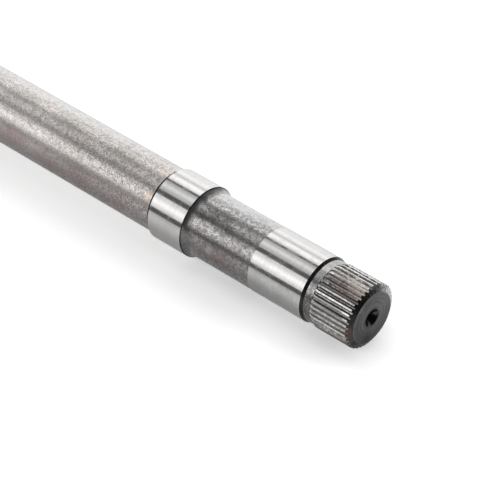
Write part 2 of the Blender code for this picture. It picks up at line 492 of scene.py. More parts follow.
@dataclass(frozen=True)
class SteelFinish:
    """How one stretch of the steel is finished, and what lies on it.

    The values in capitals are the same for every finish.
    """

    finish: Finish
    colour: Colour
    roughness: float
    travel: ToolTravel = ToolTravel.ALONG_AXIS
    mark_pitch: float = 0.0006
    mark_depth: float = 0.000002
    mark_wander: float = 40.0
    ripples: float = 96.0
    streak_share: float = 0.15
    chatter_share: float = 0.0
    oil_film: float = 0.0
    oil_roughness: float = 0.10
    stain_colour: Colour = (0.10, 0.085, 0.08)
    stain_size: float = 0.006
    stain_cover: float = 0.3
    stain_softness: float = 0.12
    stain_share: float = 0.3
    tint_colour: Colour = (0.30, 0.22, 0.20)
    tint_size: float = 0.015
    tint_cover: float = 0.4
    tint_share: float = 0.2
    scratch_spacing: float = 0.02
    scratch_share: float = 0.15
    speck_share: float = 0.1
    drawn_share: float = 0.0
    patch_dulling: float = 0.0
    painted_light_band: Optional[PaintedLightRing] = None
    # patches of real stain and of painted shade, highlight and reflection
    patches: tuple[StainAndLightPatch, ...] = ()

    DARK_SHARE = 0.35
    STREAK_EDGES = (0.35, 0.65)
    GROOVE_EDGES = (0.2, 0.8)
    SPECK_NOISE = (1250.0, 1.0, 0.6)
    SPECK_EDGES = (0.455, 0.575)
    DRAWN_SPACING = 0.0008
    TINT_SOFTNESS = 0.15
    GRAIN_NOISE = (1100.0, 1.0, 0.6)
    GRAIN_GAIN = 3.2
    GRAIN_LOSS = 0.6
    PATCH_GRAIN = 500.0
    STAIN_DULLING = 0.12
    STREAK_DULLING = 0.08
    OIL_WEAR = 0.3

    def material(self, effects: EffectLibrary, face_x: float) -> bpy.types.Material:
        """Build the finish's material.

        Args:
            effects: the shared effects.
            face_x: where the splined end's face is.

        Returns:
            The material.
        """
        paint = PaintedMaterial("steel_" + self.finish.name.lower(), self.colour)
        board = paint.board
        measures = paint.effect(effects.measures)
        marks = paint.effect(
            effects.lathe_marks,
            Travel=measures[self.travel.value],
            Pitch=self.mark_pitch,
            Wander=self.mark_wander,
            Ripples=self.ripples,
        )
        stain = paint.effect(
            effects.mottle,
            Size=self.stain_size,
            Cover=self.stain_cover,
            Softness=self.stain_softness,
        )["Mask"]
        self._lay_colours(paint, effects, marks, stain)
        # painted light: painted shade on the tooth flanks, a painted highlight at the end face's
        # rim
        if self.painted_light_band:
            ring = board.ramp(measures["Radius"], self.painted_light_band.start, self.painted_light_band.end)
            paint.lay(ring, self.painted_light_band.share, self.painted_light_band.colour)
        covered = self._lay_patches(paint, effects, face_x)

        dulled = board.math("MULTIPLY_ADD", stain, self.STAIN_DULLING, self.roughness)
        dulled = board.math("MULTIPLY_ADD", covered, self.patch_dulling, dulled)
        streaked = board.math("MULTIPLY_ADD", marks["Streak"], self.STREAK_DULLING, dulled)
        rough = board.math("SUBTRACT", streaked, self.STREAK_DULLING / 2.0)
        wear = paint.effect(effects.scratches, Spacing=self.scratch_spacing)["Mask"]
        scored = board.math("MULTIPLY", wear, -self.scratch_share)
        bump = board.add("ShaderNodeBump")
        bump.inputs["Distance"].default_value = self.mark_depth
        board.feed(bump, {"Height": board.math("ADD", marks["Height"], scored)})
        shader = board.add("ShaderNodeBsdfPrincipled")
        shader.inputs["Metallic"].default_value = 1.0
        board.feed(
            shader, {"Base Color": paint.colour, "Roughness": rough, "Normal": bump.outputs[0]}
        )
        if self.oil_film > 0.0:
            wear_off = -self.OIL_WEAR * self.oil_film
            worn = board.math("MULTIPLY_ADD", stain, wear_off, self.oil_film)
            board.feed(shader, {"Coat Weight": worn, "Coat Roughness": self.oil_roughness})
        board.end("ShaderNodeOutputMaterial", shader)
        return paint.material

    def _lay_colours(
        self, paint: PaintedMaterial, effects: EffectLibrary, marks: Sockets, stain: Socket
    ) -> None:
        """Lay the marks, tints and stain mottle over the steel's colour.

        Args:
            paint: the material.
            effects: the shared effects.
            marks: the turning marks.
            stain: the stain's mask.
        """
        board = paint.board
        dark = tuple(self.DARK_SHARE * part for part in self.colour)
        paint.lay(board.ramp(marks["Streak"], *self.STREAK_EDGES), self.streak_share, dark)
        if self.chatter_share > 0.0:
            groove = board.ramp(marks["Chatter"], *self.GROOVE_EDGES)
            paint.lay(groove, self.chatter_share, dark)
        speck = board.noise(paint.position, *self.SPECK_NOISE)
        paint.lay(board.ramp(speck, *self.SPECK_EDGES), self.speck_share, dark)
        if self.drawn_share > 0.0:
            lines = paint.effect(effects.drawn_marks, Spacing=self.DRAWN_SPACING)["Mask"]
            paint.lay(lines, self.drawn_share, dark)
        tint = paint.effect(
            effects.mottle,
            Size=self.tint_size,
            Cover=self.tint_cover,
            Softness=self.TINT_SOFTNESS,
        )["Mask"]
        paint.lay(tint, self.tint_share, self.tint_colour)
        paint.lay(stain, self.stain_share, self.stain_colour)

    def _lay_patches(
        self, paint: PaintedMaterial, effects: EffectLibrary, face_x: float
    ) -> Feed:
        """Lay the finish's patches, real stains and painted shade, highlights and reflections,
        which a fine grain breaks up.

        Args:
            paint: the material.
            effects: the shared effects.
            face_x: where the splined end's face is.

        Returns:
            How much of the colour the patches cover.
        """
        board = paint.board
        covered = 0.0
        grain = board.noise(paint.position, *self.GRAIN_NOISE)
        broken = board.math("MULTIPLY_ADD", grain, self.GRAIN_GAIN, -self.GRAIN_LOSS)
        for patch in self.patches:
            mask = paint.effect(
                effects.patch,
                Centre=patch.centre(face_x),
                Reach=patch.reach(),
                Grain=self.PATCH_GRAIN,
            )["Mask"]
            share = board.math("MULTIPLY", mask, patch.share)
            covered = board.math("MAXIMUM", paint.lay(share, broken, patch.colour), covered)
        return covered


class SteelFinishes:
    """The finish of each stretch of the shaft, as the photograph shows it."""

    GROUND = SteelFinish(
        Finish.GROUND, (0.475, 0.47, 0.465), 0.11, mark_pitch=0.0004,
        streak_share=0.08, stain_share=0.05, tint_share=0.04, speck_share=0.06,
        patches=stain_and_light_patches(
            0.0198,
            # painted shade: darker patches on the seal land's underside
            (0.059, 112, 0.0527, 0.0274, (0.34, 0.335, 0.33), 0.5),
            (0.045, 91, 0.022, 0.023, (0.36, 0.355, 0.355), 0.5),
            (0.067, 91, 0.02, 0.023, (0.36, 0.355, 0.355), 0.5),
        ),
    )
    BAR = SteelFinish(
        Finish.BAR, (0.71, 0.68, 0.655), 0.30, mark_pitch=0.0011, mark_depth=0.00001,
        ripples=112.0, streak_share=0.2, chatter_share=0.75, oil_film=0.30, oil_roughness=0.22,
        stain_colour=(0.16, 0.145, 0.132), stain_size=0.0022, stain_cover=0.42,
        stain_softness=0.08, stain_share=0.46, tint_colour=(0.42, 0.345, 0.33),
        tint_share=0.3, speck_share=0.95,
        patches=stain_and_light_patches(
            0.02,
            # painted reflection: a plain, darker tone over the top, where the grazing reflection
            # hides the mottle
            (0.253, -36, 0.3162, 0.0253, (0.46, 0.45, 0.44), 0.85),
            # painted shade over the underside, with a purple-brown tint
            (0.2424, 90, 0.29, 0.029, (0.175, 0.142, 0.14), 0.55),
            # painted highlights: a pale line that moves the highlight lower, and a faint lighter
            # wash over the lower half
            (0.2424, 62, 0.29, 0.007, (0.9, 0.86, 0.84), 0.2),
            (0.258, 56, 0.1, 0.05, (0.95, 0.91, 0.88), 0.13),
            (0.1513, 53, 0.0053, 0.0095, (0.62, 0.43, 0.31), 0.35),
            (0.1528, 2, 0.0095, 0.0084, (0.56, 0.44, 0.36), 0.3),
            (0.1729, 94, 0.0169, 0.0148, (0.25, 0.165, 0.16), 0.4),
            (0.2034, 86, 0.0232, 0.0158, (0.25, 0.17, 0.17), 0.4),
            (0.2298, 96, 0.0274, 0.0169, (0.24, 0.16, 0.16), 0.4),
            (0.2593, 84, 0.0274, 0.0169, (0.26, 0.165, 0.17), 0.4),
            (0.1813, 15, 0.0316, 0.0116, (0.21, 0.2, 0.175), 0.4),
            (0.2266, 12, 0.0316, 0.0116, (0.2, 0.195, 0.17), 0.4),
            (0.2635, 10, 0.0316, 0.0116, (0.2, 0.195, 0.17), 0.4),
        ),
    )
    NECK = SteelFinish(
        Finish.NECK, (0.54, 0.53, 0.525), 0.21, mark_pitch=0.0012, mark_depth=0.000018,
        ripples=108.0, streak_share=0.3, chatter_share=1.0, oil_film=0.5, oil_roughness=0.20,
        stain_colour=(0.10, 0.095, 0.09), stain_size=0.0022, stain_cover=0.46,
        stain_softness=0.07, stain_share=0.6, tint_share=0.15, speck_share=1.0,
        patches=stain_and_light_patches(
            0.0196,
            # painted reflection: a plain, darker tone over the top, where the grazing reflection
            # hides the mottle
            (0.098, -34, 0.0843, 0.0274, (0.38, 0.38, 0.382), 0.9),
            # painted shade over the underside, with a brown tint
            (0.098, 88, 0.068, 0.025, (0.135, 0.113, 0.11), 0.55),
            (0.1065, 27, 0.0148, 0.0095, (0.04, 0.04, 0.038), 0.5),
            (0.0995, 26, 0.0137, 0.0095, (0.05, 0.05, 0.048), 0.45),
            (0.114, 33, 0.0116, 0.01, (0.055, 0.05, 0.045), 0.55),
            (0.0935, 36, 0.008, 0.0074, (0.06, 0.055, 0.05), 0.4),
            (0.084, 50, 0.006, 0.0074, (0.16, 0.15, 0.145), 0.5),
            (0.0935, 52, 0.006, 0.007, (0.16, 0.15, 0.145), 0.5),
            (0.1165, 88, 0.007, 0.015, (0.1, 0.09, 0.088), 0.5),
            (0.1016, 84, 0.006, 0.008, (0.36, 0.32, 0.31), 0.5),
            (0.0769, 22, 0.0084, 0.0095, (0.29, 0.23, 0.2), 0.4),
            (0.0932, 88, 0.0126, 0.0095, (0.22, 0.13, 0.13), 0.4),
            (0.1112, 75, 0.0042, 0.0042, (0.34, 0.33, 0.32), 0.5),
        ),
    )
    FILLET = SteelFinish(
        Finish.FILLET, (0.30, 0.295, 0.295), 0.19, mark_pitch=0.0015, ripples=80.0,
        streak_share=0.2, chatter_share=0.6, oil_film=0.45, oil_roughness=0.20,
        stain_colour=(0.06, 0.058, 0.058), stain_size=0.0032, stain_cover=0.5,
        stain_share=0.5, speck_share=0.5,
        # painted shade: a darker patch on the fillet's underside
        patches=stain_and_light_patches(0.0203, (0.1195, 85, 0.011, 0.03, (0.12, 0.115, 0.115), 0.6)),
    )
    COLLAR = SteelFinish(
        Finish.COLLAR, (0.38, 0.375, 0.375), 0.24, mark_pitch=0.0009, streak_share=0.4,
        oil_film=0.4, oil_roughness=0.2, stain_share=0.3, stain_size=0.0014,
        tint_share=0.0, speck_share=0.9,
        patches=stain_and_light_patches(
            0.0187,
            # painted shadow: the contact shadow on the collar's underside
            (0.0305, 110, 0.03, 0.041, (0.075, 0.07, 0.068), 0.88),
            (0.0305, 3, 0.02, 0.009, (0.31, 0.31, 0.31), 0.8),
            # painted highlight: a light line that moves the dark reflection band
            (0.0305, 15, 0.02, 0.0045, (0.5, 0.5, 0.5), 0.7),
            (0.0305, 25, 0.01, 0.008, (0.2, 0.195, 0.2), 0.6),
            # painted reflection: a darker tone over the top
            (0.0305, -42, 0.01, 0.008, (0.24, 0.24, 0.24), 0.8),
        ),
    )
    # painted shade: a near-black copy of the shaft's steel, worn by the chamfers, the bar's fillet
    # and the thin line before the collar, where they reflect dark
    CHAMFER = SteelFinish(
        Finish.CHAMFER, (0.033, 0.0325, 0.033), 0.25,
        stain_share=0.2, tint_share=0.04, speck_share=0.5,
        patches=(
            # painted reflections: lighter patches over the top of the end chamfer
            StainAndLightPatch(0.0011, -50, 0.0181, 0.0105, 0.038, (0.2, 0.2, 0.2), 0.95),
            StainAndLightPatch(0.0014, -84, 0.0186, 0.0105, 0.026, (0.62, 0.62, 0.62), 0.95),
            # brown stains that also paint the lighter reflection at the bottom of the end chamfer
            StainAndLightPatch(0.0011, 88, 0.0179, 0.0063, 0.0105, (0.125, 0.092, 0.075), 0.6),
            StainAndLightPatch(0.0011, 106, 0.0179, 0.0063, 0.0126, (0.135, 0.115, 0.108), 0.7),
        ),
    )
    END_FACE = SteelFinish(
        Finish.END_FACE, (0.155, 0.152, 0.157), 0.30, ToolTravel.ACROSS_FACE,
        mark_pitch=0.0010, mark_depth=0.00002, mark_wander=12.0, streak_share=0.8,
        stain_colour=(0.07, 0.065, 0.07), stain_size=0.004, stain_share=0.3, tint_share=0.0,
        # painted highlight: a light ring at the face's rim
        painted_light_band=PaintedLightRing(0.0151, 0.0156, (0.30, 0.30, 0.30), 0.5),
        patches=(
            # painted sheen: lighter and darker sectors of the faced end, the darker ones with a
            # purple-brown tint
            StainAndLightPatch(0.0, 146, 0.0095, 0.0042, 0.011, (0.085, 0.08, 0.086), 0.6),
            StainAndLightPatch(0.0, 160, 0.014, 0.0042, 0.012, (0.05, 0.045, 0.05), 0.8),
            StainAndLightPatch(0.0, -60, 0.0132, 0.0042, 0.018, (0.2, 0.197, 0.2), 0.4),
            StainAndLightPatch(0.0, 130, 0.0137, 0.0042, 0.0126, (0.1, 0.085, 0.09), 0.6),
            StainAndLightPatch(0.0, 42, 0.0151, 0.0042, 0.0053, (0.24, 0.235, 0.24), 0.4),
        ),
    )
    # painted shade: the centre hole is near black, and its two lighter patches are painted
    # reflections on the cone
    CENTRE_HOLE = SteelFinish(
        Finish.CENTRE_HOLE, (0.012, 0.0115, 0.0125), 0.24, stain_share=0.0, tint_share=0.0,
        patches=stain_and_light_patches(
            0.0044,
            (0.0017, 150, 0.0063, 0.0063, (0.2, 0.2, 0.2), 1.0),
            (0.0017, -78, 0.0053, 0.0042, (0.16, 0.16, 0.16), 0.7),
        ),
    )
    TOOTH_TIP = SteelFinish(
        Finish.TOOTH_TIP, (0.58, 0.57, 0.56), 0.17, stain_size=0.003, stain_share=0.35,
        drawn_share=0.4, speck_share=0.45, patch_dulling=0.2,
        patches=stain_and_light_patches(
            0.0195,
            # painted reflection: pale tips over the top
            (0.014, -36, 0.05, 0.015, (0.85, 0.85, 0.85), 0.8),
            (0.0137, 14, 0.036, 0.015, (0.18, 0.163, 0.153), 0.85),
            (0.0215, 22, 0.017, 0.011, (0.12, 0.118, 0.12), 0.8),
            (0.012, 25.5, 0.027, 0.0105, (0.09, 0.069, 0.066), 0.88),
            (0.006, 10, 0.016, 0.011, (0.28, 0.255, 0.23), 0.7),
            # painted highlights on single tips, painted shade on the tip at clock 58, and painted
            # bright tooth ends at the chamfer
            (0.014, 39.8, 0.05, 0.0046, (0.74, 0.73, 0.72), 0.9),
            (0.0165, 58.3, 0.038, 0.005, (0.3, 0.295, 0.29), 0.6),
            (0.014, 94, 0.05, 0.0056, (1.0, 0.99, 0.97), 0.95),
            (0.004, 94, 0.008, 0.005, (0.98, 0.92, 0.84), 0.9),
            (0.0045, 63.5, 0.006, 0.01, (0.92, 0.91, 0.9), 0.8),
        ),
    )
    TOOTH_FLANK = SteelFinish(
        Finish.TOOTH_FLANK, (0.44, 0.43, 0.42), 0.26, stain_size=0.003, stain_share=0.4,
        drawn_share=0.5, speck_share=0.4, patch_dulling=0.15,
        # painted shade: the flanks go near black, the gap floors keep the base colour
        painted_light_band=PaintedLightRing(0.0184, 0.0187, (0.045, 0.042, 0.04), 0.85),
        patches=stain_and_light_patches(
            0.019,
            # painted reflection: lighter flanks and floors over the top
            (0.014, -49, 0.05, 0.021, (0.7, 0.7, 0.7), 0.8),
            # painted light: lighter gap floors on the underside
            (0.014, 87, 0.05, 0.019, (0.55, 0.54, 0.53), 0.4),
            # painted shade: dark gaps where the tips catch the main highlight
            (0.014, 45, 0.05, 0.015, (0.09, 0.087, 0.085), 0.7),
            # beige stain, made lighter in the gaps to paint out their shade
            (0.0137, 14, 0.036, 0.015, (0.62, 0.58, 0.55), 0.88),
            (0.0215, 22, 0.017, 0.011, (0.2, 0.197, 0.2), 0.8),
            (0.012, 24.5, 0.027, 0.01, (0.22, 0.178, 0.173), 0.85),
            # beige stain, made lighter in the gaps to paint out their shade
            (0.006, 10, 0.016, 0.011, (0.6, 0.555, 0.51), 0.7),
            (0.0037, 88, 0.006, 0.008, (0.34, 0.25, 0.18), 0.35),
        ),
    )

    @classmethod
    def all(cls) -> list[SteelFinish]:
        """Return the finishes in the order of their material slots."""
        return [getattr(cls, finish.name) for finish in Finish]


@dataclass(frozen=True)
class Stretch:
    """A run of the half profile that wears one finish, as (station, radius) points."""

    finish: Finish
    points: tuple[ProfilePoint, ...]


def arc_from_foot(foot: float, rise: float, radius: float, steps: int) -> list[ProfilePoint]:
    """Draw a concave fillet that starts tangent to the shaft.

    Args:
        foot: the shaft's radius at the fillet's foot.
        rise: how far the fillet climbs.
        radius: the fillet's own radius.
        steps: how many chords it has.

    Returns:
        Its (advance, radius) points from the foot up.
    """
    sweep = math.acos(1.0 - rise / radius)
    angles = [sweep * step / steps for step in range(steps + 1)]
    return [(radius * math.sin(a), foot + radius * (1.0 - math.cos(a))) for a in angles]


def mesh_object(name: str, form: bmesh.types.BMesh) -> bpy.types.Object:
    """Turn a bmesh into an object in the scene, and free the bmesh.

    Args:
        name: the object's name.
        form: the bmesh.

    Returns:
        The object.
    """
    mesh = bpy.data.meshes.new(name)
    form.to_mesh(mesh)
    form.free()
    item = bpy.data.objects.new(name, mesh)
    bpy.context.scene.collection.objects.link(item)
    return item


@dataclass
class CentreHole:
    """A centre hole: a mouth, a 60 degree cone, a pilot and a drill point."""

    mouth_radius: float = 0.0054
    pilot_radius: float = 0.0026
    pilot_length: float = 0.0058
    cone_angle: float = math.radians(30.0)
    drill_angle: float = math.radians(59.0)

    def points(self) -> list[ProfilePoint]:
        """Draw the hole.

        Returns:
            Its (depth, radius) points from the mouth to the drill point.
        """
        cone = (self.mouth_radius - self.pilot_radius) / math.tan(self.cone_angle)
        end = cone + self.pilot_length
        tip = end + self.pilot_radius / math.tan(self.drill_angle)
        mouth = (0.0, self.mouth_radius)
        return [mouth, (cone, self.pilot_radius), (end, self.pilot_radius), (tip, 0.0)]


@dataclass
class SplinedEnd:
    """The end face, its chamfer, the toothed stretch and the plain collar behind it."""

    hole: CentreHole = field(default_factory=CentreHole)
    teeth: int = 38
    module: float = 0.001
    length: float = 0.028
    addendum_share: float = 0.5
    dedendum_share: float = 0.7
    pressure_angle: float = math.radians(30.0)
    first_gap: float = math.radians(5.9)
    chamfer_height: float = 0.0039
    chamfer_angle: float = math.radians(30.0)
    lead_angle: float = math.radians(20.0)
    tip_break: float = 0.00007
    collar_drop: float = 0.00079
    collar_length: float = 0.00485
    collar_shade_line: float = 0.0003
    runout_angle: float = math.radians(45.0)
    flank_steps: int = 6
    overrun: float = 0.001

    @property
    def tip_radius(self) -> float:
        """Return the radius over the teeth."""
        return self.module * (self.teeth / 2.0 + self.addendum_share)

    @property
    def root_radius(self) -> float:
        """Return the radius at the bottom of the gaps."""
        return self.module * (self.teeth / 2.0 - self.dedendum_share)

    @property
    def collar_radius(self) -> float:
        """Return the collar's radius."""
        return self.tip_radius - self.collar_drop

    def stretches(self) -> list[Stretch]:
        """Draw the end, whose collar starts with a thin line of painted shade.

        Returns:
            The end's stretches, from the drill point to the collar's inner end.
        """
        hole = tuple(reversed(self.hole.points()))
        flat = self.tip_radius - self.chamfer_height
        shoulder = self.chamfer_height * math.tan(self.chamfer_angle)
        lead = self.length - self.collar_drop / math.tan(self.lead_angle)
        line_end = self.length + self.collar_shade_line
        collar_end = self.length + self.collar_length
        tip, collar = self.tip_radius, self.collar_radius
        return [
            Stretch(Finish.CENTRE_HOLE, hole),
            Stretch(Finish.END_FACE, (hole[-1], (0.0, flat))),
            Stretch(Finish.CHAMFER, ((0.0, flat), (shoulder, tip))),
            Stretch(Finish.TOOTH_TIP, ((shoulder, tip), (lead, tip), (self.length, collar))),
            # painted shade: a thin near-black ring where the teeth's sloped ends meet the collar
            Stretch(Finish.CHAMFER, ((self.length, collar), (line_end, collar))),
            Stretch(Finish.COLLAR, ((line_end, collar), (collar_end, collar))),
        ]

    def half_gap(self, radius: float) -> float:
        """Find half the angle that a gap takes up, from its involute flanks.

        Args:
            radius: where the gap is measured.

        Returns:
            Half the angle.
        """
        base = self.module * self.teeth / 2.0 * math.cos(self.pressure_angle)
        flank = math.acos(base / radius)
        widening = math.tan(flank) - flank - math.tan(self.pressure_angle) + self.pressure_angle
        return math.pi / (2.0 * self.teeth) + widening

    def gap_outline(self) -> list[ProfilePoint]:
        """Draw one gap's section, centred on +X and open past the tooth tips.

        Returns:
            Its (x, y) points.
        """
        break_start = self.tip_radius - self.tip_break
        tip_angle = self.half_gap(break_start) + self.tip_break / self.tip_radius
        polar = [(self.tip_radius + self.overrun, tip_angle), (self.tip_radius, tip_angle)]
        for step in range(self.flank_steps + 1):
            radius = break_start + (self.root_radius - break_start) * step / self.flank_steps
            polar.append((radius, self.half_gap(radius)))
        side = [(radius * math.cos(a), radius * math.sin(a)) for radius, a in polar]
        return side + [(x, -y) for x, y in reversed(side)]

    def gap_cutter(self) -> bpy.types.Object:
        """Make the cutter of all the gaps, round Z with the splined end's face at zero.

        Returns:
            The cutter.
        """
        lift = self.tip_radius - self.root_radius + self.overrun
        rise = self.collar_radius - self.root_radius
        straight = self.length - rise / math.tan(self.runout_angle) + self.overrun
        form = bmesh.new()
        corners = [form.verts.new((x, y, self.overrun)) for x, y in self.gap_outline()]
        mouth = form.faces.new(corners)
        swept = bmesh.ops.extrude_face_region(form, geom=[mouth])
        end = next(item for item in swept["geom"] if isinstance(item, bmesh.types.BMFace))
        bmesh.ops.translate(form, verts=end.verts, vec=Vector((0.0, 0.0, -straight)))
        end = bmesh.ops.extrude_discrete_faces(form, faces=[end])["faces"][0]
        lift_out = Vector((lift, 0.0, -lift / math.tan(self.runout_angle)))
        bmesh.ops.translate(form, verts=end.verts, vec=lift_out)
        gap = form.verts[:] + form.edges[:] + form.faces[:]
        for tooth in range(1, self.teeth):
            copy = bmesh.ops.duplicate(form, geom=gap)
            verts = [item for item in copy["geom"] if isinstance(item, bmesh.types.BMVert)]
            turn = Matrix.Rotation(math.tau * tooth / self.teeth, 3, "Z")
            bmesh.ops.rotate(form, verts=verts, matrix=turn)
        turn = Matrix.Rotation(self.first_gap, 3, "Z")
        bmesh.ops.rotate(form, verts=form.verts, matrix=turn)
        bmesh.ops.recalc_face_normals(form, faces=form.faces)
        for face in form.faces:
            face.material_index = Finish.TOOTH_FLANK.value
        return mesh_object("spline_gap_cutter", form)


@dataclass
class SealLand:
    """The ground land that the seal runs on, with a lead-in chamfer down to the collar."""

    rise: float = 0.00028
    length: float = 0.0376
    shoulder_angle: float = math.radians(30.0)

    def stretches(self, start: float, collar_radius: float, tip_radius: float) -> list[Stretch]:
        """Draw the land.

        Args:
            start: the station where the collar ends.
            collar_radius: the collar's radius.
            tip_radius: the radius over the teeth, which the land clears.

        Returns:
            The chamfer and the land.
        """
        radius = tip_radius + self.rise
        rim = start + (radius - collar_radius) / math.tan(self.shoulder_angle)
        return [
            Stretch(Finish.CHAMFER, ((start, collar_radius), (rim, radius))),
            Stretch(Finish.GROUND, ((rim, radius), (rim + self.length, radius))),
        ]


@dataclass
class Neck:
    """The turned neck between the two lands, with the fillet that climbs to the bearing land."""

    drop: float = 0.00018
    length: float = 0.04965
    step_length: float = 0.0002
    fillet_radius: float = 0.0063
    rim_chamfer: float = 0.0005
    fillet_steps: int = 14

    def stretches(self, start: float, seal_radius: float, land_radius: float) -> list[Stretch]:
        """Draw the neck.

        Args:
            start: the station where the seal land ends.
            seal_radius: the seal land's radius.
            land_radius: the bearing land's radius.

        Returns:
            The step down with the neck, its fillet and the bearing land's rim.
        """
        radius = seal_radius - self.drop
        end = start + self.length
        rise = land_radius - self.rim_chamfer - radius
        arc = arc_from_foot(radius, rise, self.fillet_radius, self.fillet_steps)
        foot = end - self.rim_chamfer - arc[-1][0]
        neck = ((start, seal_radius), (start + self.step_length, radius), (foot, radius))
        fillet = tuple((foot + advance, level) for advance, level in arc)
        return [
            Stretch(Finish.NECK, neck),
            Stretch(Finish.FILLET, fillet),
            Stretch(Finish.CHAMFER, (fillet[-1], (end, land_radius))),
        ]


@dataclass
class BearingLand:
    """The raised ground land that the bearing sits on."""

    rise: float = 0.00203
    width: float = 0.02455

    def stretches(self, start: float, radius: float) -> list[Stretch]:
        """Return the land's stretch from its start, at its radius."""
        return [Stretch(Finish.GROUND, ((start, radius), (start + self.width, radius)))]


@dataclass
class PlainBar:
    """The bar behind the bearing land, out to the shaft's far end."""

    hole: CentreHole = field(default_factory=CentreHole)
    drop: float = 0.00181
    rim_chamfer: float = 0.0003
    fillet_radius: float = 0.0021
    fillet_steps: int = 8
    far_chamfer: float = 0.0016
    rings: int = 12

    def stretches(self, start: float, land_radius: float, shaft_length: float) -> list[Stretch]:
        """Draw the bar.

        Args:
            start: the station where the bearing land ends.
            land_radius: the bearing land's radius.
            shaft_length: the whole shaft's length.

        Returns:
            The rim, the fillet, the bar, the far chamfer, the far face and its centre hole.
        """
        radius = land_radius - self.drop
        rise = self.drop - self.rim_chamfer
        arc = arc_from_foot(radius, rise, self.fillet_radius, self.fillet_steps)
        foot = start + self.rim_chamfer + arc[-1][0]
        fillet = tuple((foot - advance, level) for advance, level in reversed(arc))
        length = shaft_length - self.far_chamfer - foot
        stations = [foot + length * ring / self.rings for ring in range(self.rings + 1)]
        bar = tuple((station, radius) for station in stations)
        rim = (shaft_length, radius - self.far_chamfer)
        hole = tuple((shaft_length - depth, level) for depth, level in self.hole.points())
        return [
            Stretch(Finish.CHAMFER, ((start, land_radius), fillet[0])),
            # painted shade: the fillet beside the bearing land wears the near-black chamfer steel
            Stretch(Finish.CHAMFER, fillet),
            Stretch(Finish.BAR, bar),
            Stretch(Finish.CHAMFER, (bar[-1], rim)),
            Stretch(Finish.END_FACE, (rim, hole[0])),
            Stretch(Finish.CENTRE_HOLE, hole),
        ]


@dataclass
class AxleShaft:
    """The whole shaft, turned from its stretches and splined."""

    face_x: float
    length: float
    facets: int = 152
    merge_distance: float = 0.000001
    sharp_angle: float = math.radians(25.0)
    splined_end: SplinedEnd = field(default_factory=SplinedEnd)
    seal_land: SealLand = field(default_factory=SealLand)
    neck: Neck = field(default_factory=Neck)
    bearing_land: BearingLand = field(default_factory=BearingLand)
    bar: PlainBar = field(default_factory=PlainBar)

    def stretches(self) -> list[Stretch]:
        """Draw the half profile.

        Returns:
            Its stretches, from one drill point to the other.
        """
        end = self.splined_end
        runs = end.stretches()
        runs += self.seal_land.stretches(runs[-1].points[-1][0], end.collar_radius, end.tip_radius)
        station, seal_radius = runs[-1].points[-1]
        land_radius = seal_radius + self.bearing_land.rise
        runs += self.neck.stretches(station, seal_radius, land_radius)
        runs += self.bearing_land.stretches(runs[-1].points[-1][0], land_radius)
        runs += self.bar.stretches(runs[-1].points[-1][0], land_radius, self.length)
        return runs

    def turned_blank(self) -> bpy.types.Object:
        """Spin every stretch round the shaft's axis and join them at their rims.

        Returns:
            The shaft without its spline.
        """
        form = bmesh.new()
        for stretch in self.stretches():
            spots = [Vector((self.face_x - at, 0.0, level)) for at, level in stretch.points]
            verts = [form.verts.new(spot) for spot in spots]
            edges = [form.edges.new(pair) for pair in zip(verts, verts[1:])]
            old_faces = set(form.faces)
            bmesh.ops.spin(
                form,
                geom=verts + edges,
                axis=Vector((1.0, 0.0, 0.0)),
                angle=math.tau,
                steps=self.facets,
                use_merge=True,
            )
            for face in form.faces:
                if face not in old_faces:
                    face.material_index = stretch.finish.value
        bmesh.ops.remove_doubles(form, verts=form.verts, dist=self.merge_distance)
        bmesh.ops.recalc_face_normals(form, faces=form.faces)
        return mesh_object("splined_axle_shaft", form)

    def cut_spline(self, blank: bpy.types.Object) -> None:
        """Cut the spline's gaps out of the blank, and keep the result as the blank's mesh.

        Args:
            blank: the turned shaft.
        """
        cutter = self.splined_end.gap_cutter()
        lay_down = Matrix.Rotation(math.radians(90.0), 4, "Y")
        cutter.data.transform(Matrix.Translation((self.face_x, 0.0, 0.0)) @ lay_down)
        gaps = blank.modifiers.new("spline_gaps", "BOOLEAN")
        gaps.operation = "DIFFERENCE"
        gaps.solver = "EXACT"
        gaps.object = cutter
        bpy.context.view_layer.update()
        evaluated = blank.evaluated_get(bpy.context.evaluated_depsgraph_get())
        mesh = bpy.data.meshes.new_from_object(evaluated)
        blank.modifiers.clear()
        blank.data = mesh
        bpy.data.objects.remove(cutter, do_unlink=True)

    def build(self, effects: EffectLibrary) -> bpy.types.Object:
        """Build the shaft and dress it.

        Args:
            effects: the shared surface effects.

        Returns:
            The finished shaft.
        """
        shaft = self.turned_blank()
        for finish in SteelFinishes.all():
            shaft.data.materials.append(finish.material(effects, self.face_x))
        self.cut_spline(shaft)
        shaft.data.shade_smooth()
        shaft.data.set_sharp_from_angle(angle=self.sharp_angle)
        return shaft


@dataclass(frozen=True)
class StripLight:
    """One long soft light that runs beside the shaft.

    Its low, high and hot lines are angles about the shaft's axis in degrees: straight in front is
    0, straight up is 90 and straight behind is 180. It fades out towards the splined end between
    two values of a direction's X.
    """

    low: float
    high: float
    level: float
    hot_line: float = 0.0
    hot_level: float = 0.0
    hot_reach: float = 10.0
    full_to: float = -0.60
    gone_at: float = 0.40


@dataclass(frozen=True)
class PaperLift:
    """Extra glow, painted light, that the paper gains from one line to another, along X, Y or
    both.
    """

    gain: float
    x_from: float = 0.0
    x_to: float = 0.0
    y_from: float = 0.0
    y_to: float = 0.0

    def glow(self, board: NodeBoard, place: Sockets) -> Socket:
        """Work out the gain at each place.

        Args:
            board: the paper's board.
            place: the place's X, Y and Z.

        Returns:
            The gain's socket.
        """
        share = self.gain
        if self.x_from != self.x_to:
            share = board.math("MULTIPLY", board.ramp(place["X"], self.x_from, self.x_to), share)
        if self.y_from != self.y_to:
            share = board.math("MULTIPLY", board.ramp(place["Y"], self.y_from, self.y_to), share)
        return share


